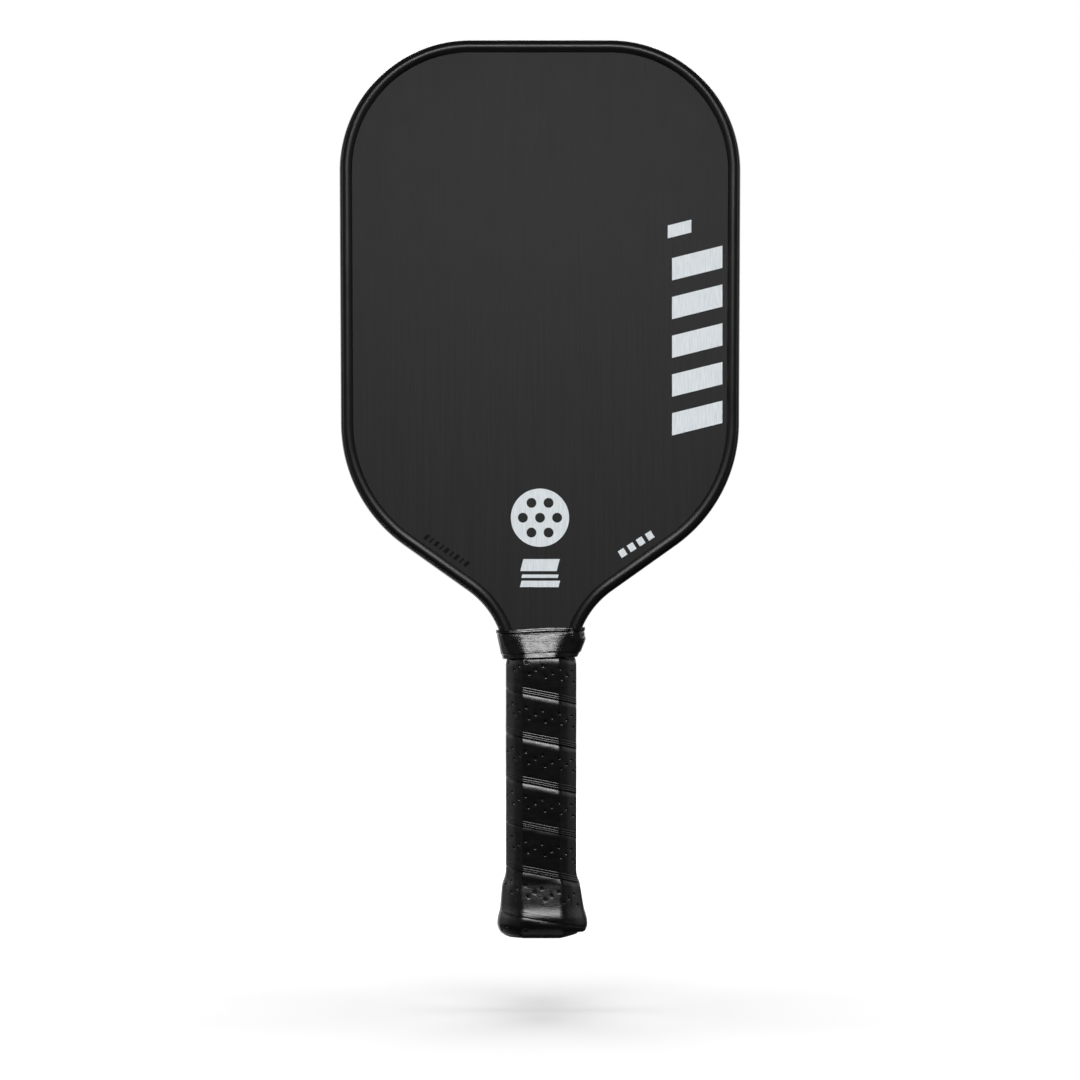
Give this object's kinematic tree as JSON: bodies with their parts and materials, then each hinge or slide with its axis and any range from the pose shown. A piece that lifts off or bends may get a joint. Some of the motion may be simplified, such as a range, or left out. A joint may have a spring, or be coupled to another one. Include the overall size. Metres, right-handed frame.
{
  "type": "pickleball paddle",
  "caption": "Flat-faced paddle with a rounded-square head, a raised edge guard, a short neck and a wrapped eight-sided handle that flares at the butt.",
  "frame": {"origin": "centre of the butt's flat end", "axes": "+Z along the handle towards the top edge, +Y through the thickness towards the back face, +X across the head"},
  "size_m": [0.1874, 0.0389, 0.4191],
  "materials": {
    "core": "translucent natural polypropylene",
    "scrim": "non-woven fleece",
    "carbon_face": "raw peel-ply carbon, matt charcoal",
    "bond_tape": "adhesive foam tape",
    "guard": "satin black",
    "pallet_foam": "skinned structural foam",
    "cap": "moulded black",
    "badge": "plain black disc",
    "staple_wire": "zinc-plated wire",
    "grip": "satin black synthetic leather",
    "finishing_tape": "glossy black vinyl",
    "light_ink": "pale grey-blue ink",
    "dark_ink": "black ink"
  },
  "bodies": {
    "root": {"honeycomb_core": "core", "core_scrim_front": "scrim", "core_scrim_back": "scrim", "face_sheet_front": "carbon_face", "face_sheet_back": "carbon_face", "edge_bond_tape": "bond_tape", "edge_guard": "guard", "handle_pallet_front": "pallet_foam", "handle_pallet_back": "pallet_foam", "butt_cap": "cap", "butt_badge": "badge", "cap_staples": "staple_wire", "grip_wrap": "grip", "finishing_tape": "finishing_tape", "side_bars_front": "light_ink", "side_bars_back": "light_ink", "ball_emblem_front": "light_ink", "ball_emblem_back": "light_ink", "rating_bars_front": "light_ink", "edge_dashes_front": "light_ink", "lot_ticks_front": "dark_ink"}
  },
  "joints": []
}
